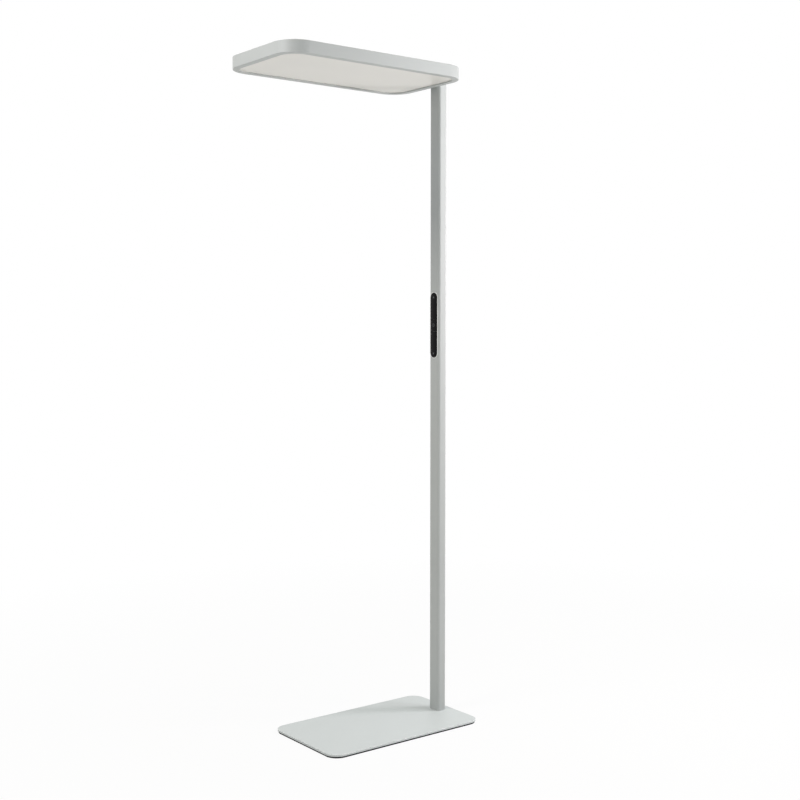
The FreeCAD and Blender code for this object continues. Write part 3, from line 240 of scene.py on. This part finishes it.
def turnPiece(name, profile, steps=48):
    # one vertex is drawn along the half section (radius, height) and spun round Z
    bpy.ops.object.select_all(action="DESELECT")
    bpy.ops.mesh.primitive_plane_add(size=1, location=(0, 0, 0))
    piece = bpy.context.object
    piece.name = name
    bpy.ops.object.mode_set(mode="EDIT")
    bpy.ops.mesh.select_all(action="SELECT")
    bpy.ops.mesh.merge(type="CENTER")
    startRadius, startHeight = profile[0]
    bpy.ops.transform.translate(value=(startRadius, 0, startHeight))
    for (radius, height), (nextRadius, nextHeight) in zip(profile, profile[1:]):
        step = (nextRadius - radius, 0, nextHeight - height)
        bpy.ops.mesh.extrude_region_move(TRANSFORM_OT_translate={"value": step})
    bpy.ops.mesh.select_all(action="SELECT")
    bpy.ops.mesh.spin(steps=steps, angle=2 * math.pi, center=(0, 0, 0), axis=(0, 0, 1))
    bpy.ops.mesh.select_all(action="SELECT")
    bpy.ops.mesh.remove_doubles(threshold=weldGap)
    bpy.ops.mesh.normals_make_consistent(inside=False)
    bpy.ops.object.mode_set(mode="OBJECT")
    return piece


def makePrism(name, corners, radius, low, high):
    # an upright prism from a primitive circle, the start of each mark
    bpy.ops.object.select_all(action="DESELECT")
    bpy.ops.mesh.primitive_circle_add(vertices=corners, radius=radius, fill_type="NGON",
                                      location=(0, 0, low))
    piece = bpy.context.object
    piece.name = name
    bpy.ops.object.transform_apply(location=True, rotation=False, scale=False)
    bpy.ops.object.mode_set(mode="EDIT")
    bpy.ops.mesh.select_all(action="SELECT")
    bpy.ops.mesh.extrude_region_move(TRANSFORM_OT_translate={"value": (0, 0, high - low)})
    bpy.ops.mesh.select_all(action="SELECT")
    bpy.ops.mesh.normals_make_consistent(inside=False)
    bpy.ops.object.mode_set(mode="OBJECT")
    return piece


def makeBand(name, radius, band, thick, straight=0):
    # a flat ring; its halves are pulled apart along Y where it has straight sides
    bpy.ops.object.select_all(action="DESELECT")
    bpy.ops.mesh.primitive_circle_add(vertices=bandCorners, radius=radius, fill_type="NGON")
    piece = bpy.context.object
    piece.name = name
    for side in (1, -1):
        pick(piece, "VERT", lambda corner: corner.co.y * side > 0)
        bpy.ops.transform.translate(value=(0, side * straight, 0))
    bpy.ops.mesh.select_mode(type="FACE")
    bpy.ops.mesh.select_all(action="SELECT")
    bpy.ops.mesh.inset(thickness=band)
    bpy.ops.mesh.delete(type="FACE")
    bpy.ops.object.mode_set(mode="OBJECT")
    wall = piece.modifiers.new("wall", "SOLIDIFY")
    wall.thickness = thick
    wall.offset = 0
    selectOnly(piece)
    bpy.ops.object.modifier_apply(modifier=wall.name)
    return piece


def setPiece(piece, place, turn, finish, body):
    # millimetres to metres, then the place goes into the mesh, as on the frame's own nodes
    piece.scale = (mm, mm, mm)
    piece.rotation_euler = turn
    piece.location = Vector(place) * mm
    selectOnly(piece)
    bpy.ops.object.transform_apply(location=True, rotation=True, scale=True)
    bpy.ops.object.shade_smooth_by_angle(angle=smoothAngle)
    piece.data.materials.clear()
    piece.data.materials.append(materials[finish])
    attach(piece, body)


def copyPiece(piece, name):
    twin = piece.copy()
    twin.data = piece.data.copy()
    twin.name = name
    bpy.context.scene.collection.objects.link(twin)
    return twin


# Socket screws, drawn pointing up with the seat of the head, or the flush face, at height 0
sunkProfile = [(0, -9), (2, -9), (2.3, -8.5), (2.3, -2.4), (4.5, -0.25), (4.5, -0.06), (4.44, 0)]
screws = {
    "coverScrew": {"profile": [(0, -7), (1.2, -7), (1.4, -6.6), (1.4, 0), (2.8, 0), (2.8, 0.8),
                               (2.7, 1.15), (2.45, 1.42), (2.1, 1.56), (1.7, 1.6)],
                   "socket": 1.3, "floor": 0.5, "top": 1.6, "tip": 0, "node": "cover_screws",
                   "places": [(-161, -515.5, 1948), (161, -515.5, 1948),
                              (-161, -155.5, 1948), (161, -155.5, 1948)]},
    "capScrew": {"profile": [(0, -10), (1.2, -10), (1.4, -9.6), (1.4, -1.9), (3.1, -0.2),
                             (3.1, -0.05), (3.05, 0)],
                 "socket": 1.4, "floor": -1.4, "top": 0, "tip": 0, "node": "cap_screws",
                 "places": [(-17.4, 0, 1950), (17.4, 0, 1950)]},
    "footSideScrew": {"profile": sunkProfile, "socket": 2, "floor": -2, "top": 0, "tip": toRear,
                      "node": "mast_foot_screws", "places": [(0, 16, 30), (0, 16, 58)]},
    "bracketScrew": {"profile": sunkProfile, "socket": 2, "floor": -2, "top": 0, "tip": toRear,
                     "node": "bracket_screws", "places": [(0, 16, 1894.5), (0, 16, 1922.5)]},
}


def squareOffSocket(piece, socket):
    # the round socket becomes a hexagon: each of its points moves in to the nearest flat
    sixth, near = 60, 0.01
    flat = socket * math.cos(math.radians(sixth / 2))
    for corner in piece.data.vertices:
        if abs(math.hypot(corner.co.x, corner.co.y) - socket) < near:
            turn = math.degrees(math.atan2(corner.co.y, corner.co.x)) % sixth
            reach = flat / math.cos(math.radians(turn - sixth / 2)) / socket
            corner.co.x *= reach
            corner.co.y *= reach


for name, screw in screws.items():
    socketWall = [(screw["socket"], screw["top"]), (screw["socket"], screw["floor"]),
                  (0, screw["floor"])]
    first = turnPiece(name, screw["profile"] + socketWall)
    squareOffSocket(first, screw["socket"])
    for i, place in enumerate(screw["places"]):
        piece = copyPiece(first, f"{name}{i + 1}")
        setPiece(piece, place, (screw["tip"], 0, 0), "zincPlatedSteel", "lamp")
        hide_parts(screw["node"])
    bpy.data.objects.remove(first)
print("socket screws set")

# Cable gland at the rear foot of the mast: a low domed flange with finger grips round its rim
gland = {"profile": [(3.6, -10.5), (6, -10.5), (6, 0), (10, 0), (10, 2.7), (9.7, 3.3), (9, 3.75),
                     (7.4, 4), (5.4, 4), (5.1, 3.7), (3.6, 3.2)],
         "steps": 96, "place": (0, 16, 115), "rim": 9.9, "lean": 0.1,
         "gripCount": 12, "gripDepth": 0.8, "gripInset": 0.2}
glandBody = turnPiece("cableGlandBody", gland["profile"] + gland["profile"][:1], gland["steps"])


def isGrip(face):
    # the rim's upright faces, in the first half of each grip's share of the turn
    middle = face.center
    share = 360 / gland["gripCount"]
    turn = math.degrees(math.atan2(middle.y, middle.x)) % share
    onRim = math.hypot(middle.x, middle.y) > gland["rim"]
    return onRim and abs(face.normal.z) < gland["lean"] and turn < share / 2


pick(glandBody, "FACE", isGrip)
bpy.ops.mesh.inset(thickness=gland["gripInset"], depth=-gland["gripDepth"])
bpy.ops.object.mode_set(mode="OBJECT")
setPiece(glandBody, gland["place"], (toRear, 0, 0), "blackPolyamide", "lamp")
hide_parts("cable_gland")
print("cable gland set")

# Printed marks on the keys: they sink a little into the crown and stand a hair proud of it
ink = {"back": 18.25, "front": 18.66, "finish": "printedInk", "slot": "grey_plastic"}
inkDepth = ink["front"] - ink["back"]
arrow = {"radius": 4.6, "squash": 0.86, "corner": 0.6, "cornerSteps": 3}
arrows = {"upMark": {"z": 1287, "turn": 0, "body": "up_button"},
          "downMark": {"z": 1117, "turn": math.pi, "body": "down_button"}}
powerSign = {"radius": 4.8, "band": 0.9, "barHalfWidth": 0.45, "barHalfLength": 2.4,
             "z": 1203, "body": "power_button"}


def makeArrow(name):
    # a three-cornered prism with rounded corners, pointing up once it stands on the key
    piece = makePrism(name, 3, arrow["radius"], ink["back"], ink["front"])
    bpy.ops.object.mode_set(mode="EDIT")
    bpy.ops.mesh.select_all(action="SELECT")
    bpy.ops.transform.resize(value=(1, arrow["squash"], 1), center_override=(0, 0, 0))

    def isUpright(edge):
        low, high = (piece.data.vertices[i].co.z for i in edge.vertices)
        return abs(low - high) > inkDepth / 2

    pick(piece, "EDGE", isUpright)
    bpy.ops.mesh.bevel(offset=arrow["corner"], segments=arrow["cornerSteps"], affect="EDGES")
    bpy.ops.object.mode_set(mode="OBJECT")
    return piece


def makePowerSign(name):
    # a ring round an upright bar; the bar starts as a turned square of half side 1
    ring = makeBand(name, powerSign["radius"], powerSign["band"], inkDepth)
    bar = makePrism("powerBar", 4, math.sqrt(2), -inkDepth / 2, inkDepth / 2)
    bar.rotation_euler = (0, 0, math.pi / 4)
    bpy.ops.object.transform_apply(location=False, rotation=True, scale=False)
    bpy.ops.object.mode_set(mode="EDIT")
    bpy.ops.mesh.select_all(action="SELECT")
    barSize = (powerSign["barHalfWidth"], powerSign["barHalfLength"], 1)
    bpy.ops.transform.resize(value=barSize, center_override=(0, 0, 0))
    bpy.ops.object.mode_set(mode="OBJECT")
    ring.select_set(True)
    bpy.context.view_layer.objects.active = ring
    bpy.ops.object.join()
    return ring


for name, mark in arrows.items():
    setPiece(makeArrow(name), (0, 0, mark["z"]), (toFront, mark["turn"], 0), ink["finish"],
             mark["body"])
setPiece(makePowerSign("powerMark"), (0, -(ink["front"] - inkDepth / 2), powerSign["z"]),
         (toFront, 0, 0), ink["finish"], powerSign["body"])
print("key marks set")

# Round the keys: a soft black seal on the housing's rim, and a white trim ring over the edge of
# the opening in the mast, whose white is a painted highlight; y is the middle of each ring's
# thickness
surroundMiddle = 1203
surround = {
    "keypadSeal": {"halfWidth": 16.2, "halfLength": 99.2, "band": 2.05, "thick": 0.25,
                   "y": -16.7, "finish": "foamRubber", "slot": "black_plastic"},
    "keypadTrim": {"halfWidth": 17.9, "halfLength": 100.9, "band": 1.65, "thick": 1.7,
                   "y": -16.1, "finish": "mouldedWhiteAbs", "slot": "grey_plastic"},
}
for name, ring in surround.items():
    band = makeBand(name, ring["halfWidth"], ring["band"], ring["thick"],
                    ring["halfLength"] - ring["halfWidth"])
    setPiece(band, (0, ring["y"], surroundMiddle), (toFront, 0, 0), ring["finish"], "lamp")
print("keypad surround set")


# Studio: a white floor and world, and five softboxes. The mast's front stays darker than its
# right side, and the ceiling light is far off, so that the head's top doesn't burn out.
studio = {
    "ambient": 0.3,
    "floorSize": 60,
    "floorAlbedo": "#E6E6E6",
    "floorGlow": {"near": 0.93, "far": 1, "from": 0.7, "to": 2.6},
    "softboxes": {
        "headFront": {"place": (0.15, -1.45, 2.0), "aim": (0, -0.64, 1.93), "size": (0.5, 0.35),
                      "watts": 2.46, "tint": (0.916, 0.921, 1.0)},
        "rearSide": {"place": (1.5, 1.0, 2.15), "aim": (0, -0.1, 1.75), "size": (0.5, 0.5),
                     "watts": 13.83, "tint": (0.986, 0.994, 1.0)},
        "ceiling": {"place": (0.5, 0.5, 10.0), "aim": (0, -0.2, 0), "size": (5.0, 5.0),
                    "watts": 224.3, "tint": (0.96, 1.0, 0.887)},
        "topFront": {"place": (0.0, -3.0, 4.0), "aim": (0, -0.2, 1.0), "size": (1.2, 1.2),
                     "watts": 60.15, "tint": (1.0, 0.95, 0.867)},
        "rearMid": {"place": (1.1, 1.6, 1.45), "aim": (0, -0.1, 1.35), "size": (0.5, 0.9),
                    "watts": 28.29, "tint": (1.0, 0.934, 0.948)},
    },
}
plainWhite = (1, 1, 1, 1)


def makeSoftbox(name, box):
    light = bpy.data.lights.new(name, "AREA")
    light.shape = "RECTANGLE"
    light.size, light.size_y = box["size"]
    light.energy = box["watts"]
    light.color = box["tint"]
    lamp = bpy.data.objects.new(name, light)
    bpy.context.scene.collection.objects.link(lamp)
    lamp.visible_camera = False
    lamp.location = box["place"]
    lamp.rotation_euler = (Vector(box["aim"]) - lamp.location).to_track_quat("-Z", "Y").to_euler()


for name, box in studio["softboxes"].items():
    makeSoftbox(name, box)


def whiteForCamera(tree, seen, unseen, share=None):
    # what the camera, a mirror or clear acrylic sees is mixed towards plain white
    path = addNode(tree, "ShaderNodeLightPath")
    gloss = addNode(tree, "ShaderNodeMath", {"operation": "MAXIMUM"},
                    {0: path.outputs["Is Camera Ray"], 1: path.outputs["Is Glossy Ray"]})
    clear = addNode(tree, "ShaderNodeMath", {"operation": "MAXIMUM"},
                    {0: gloss.outputs[0], 1: path.outputs["Is Transmission Ray"]})
    amount = addNode(tree, "ShaderNodeMath", {"operation": "MULTIPLY", 1: 1},
                     {0: clear.outputs[0]})
    if share:
        tree.links.new(share, amount.inputs[1])
    return addNode(tree, "ShaderNodeMixShader", links={0: amount.outputs[0], 1: unseen, 2: seen})


world = bpy.data.worlds.new("whiteStudio")
bpy.context.scene.world = world
world.use_nodes = True
worldTree = world.node_tree
worldTree.nodes.clear()
ambient = addNode(worldTree, "ShaderNodeBackground",
                  {"Color": plainWhite, "Strength": studio["ambient"]})
white = addNode(worldTree, "ShaderNodeBackground", {"Color": plainWhite, "Strength": 1})
worldMix = whiteForCamera(worldTree, white.outputs[0], ambient.outputs[0])
addNode(worldTree, "ShaderNodeOutputWorld", links={"Surface": worldMix.outputs[0]})

bpy.ops.object.select_all(action="DESELECT")
bpy.ops.mesh.primitive_plane_add(size=studio["floorSize"], location=(0, 0, 0))
floor = bpy.context.object
floor.name = "studioFloor"
# matt white paper roll: it takes the soft shadow of the base
floorPaper = bpy.data.materials.new("whitePaper")
floorPaper.use_nodes = True
paperTree = floorPaper.node_tree
paperTree.nodes.clear()
paper = addNode(paperTree, "ShaderNodeBsdfDiffuse", {"Color": toLinear(studio["floorAlbedo"])})
glow = addNode(paperTree, "ShaderNodeEmission", {"Color": plainWhite, "Strength": 1})
# the paper fades to plain white away from the lamp, so no horizon shows
paperCoords = addNode(paperTree, "ShaderNodeTexCoord")
distance = addNode(paperTree, "ShaderNodeVectorMath", {"operation": "LENGTH"},
                   {0: paperCoords.outputs["Object"]})
fade = studio["floorGlow"]
whiteness = addNode(paperTree, "ShaderNodeMapRange",
                    {"From Min": fade["from"], "From Max": fade["to"],
                     "To Min": fade["near"], "To Max": fade["far"]},
                    {"Value": distance.outputs["Value"]})
paperMix = whiteForCamera(paperTree, glow.outputs[0], paper.outputs[0], whiteness.outputs[0])
addNode(paperTree, "ShaderNodeOutputMaterial", links={"Surface": paperMix.outputs[0]})
floor.data.materials.append(floorPaper)

# the photograph's own view: place and reach in metres, angles in radians, the rest in millimetres
view = {"place": (2.89274, -2.38327, 1.19529), "turn": 0.9128, "down": 0.0591,
        "lens": 54.98, "sensor": 36, "reach": 200}
camera = bpy.data.objects.new("camera", bpy.data.cameras.new("camera"))
bpy.context.scene.collection.objects.link(camera)
camera.data.sensor_width = view["sensor"]
camera.data.lens = view["lens"]
camera.data.clip_end = view["reach"]
camera.location = view["place"]
camera.rotation_euler = (math.pi / 2 - view["down"], 0, view["turn"])
bpy.context.scene.camera = camera
bpy.context.scene.view_settings.view_transform = "Standard"
print("studio and camera set")
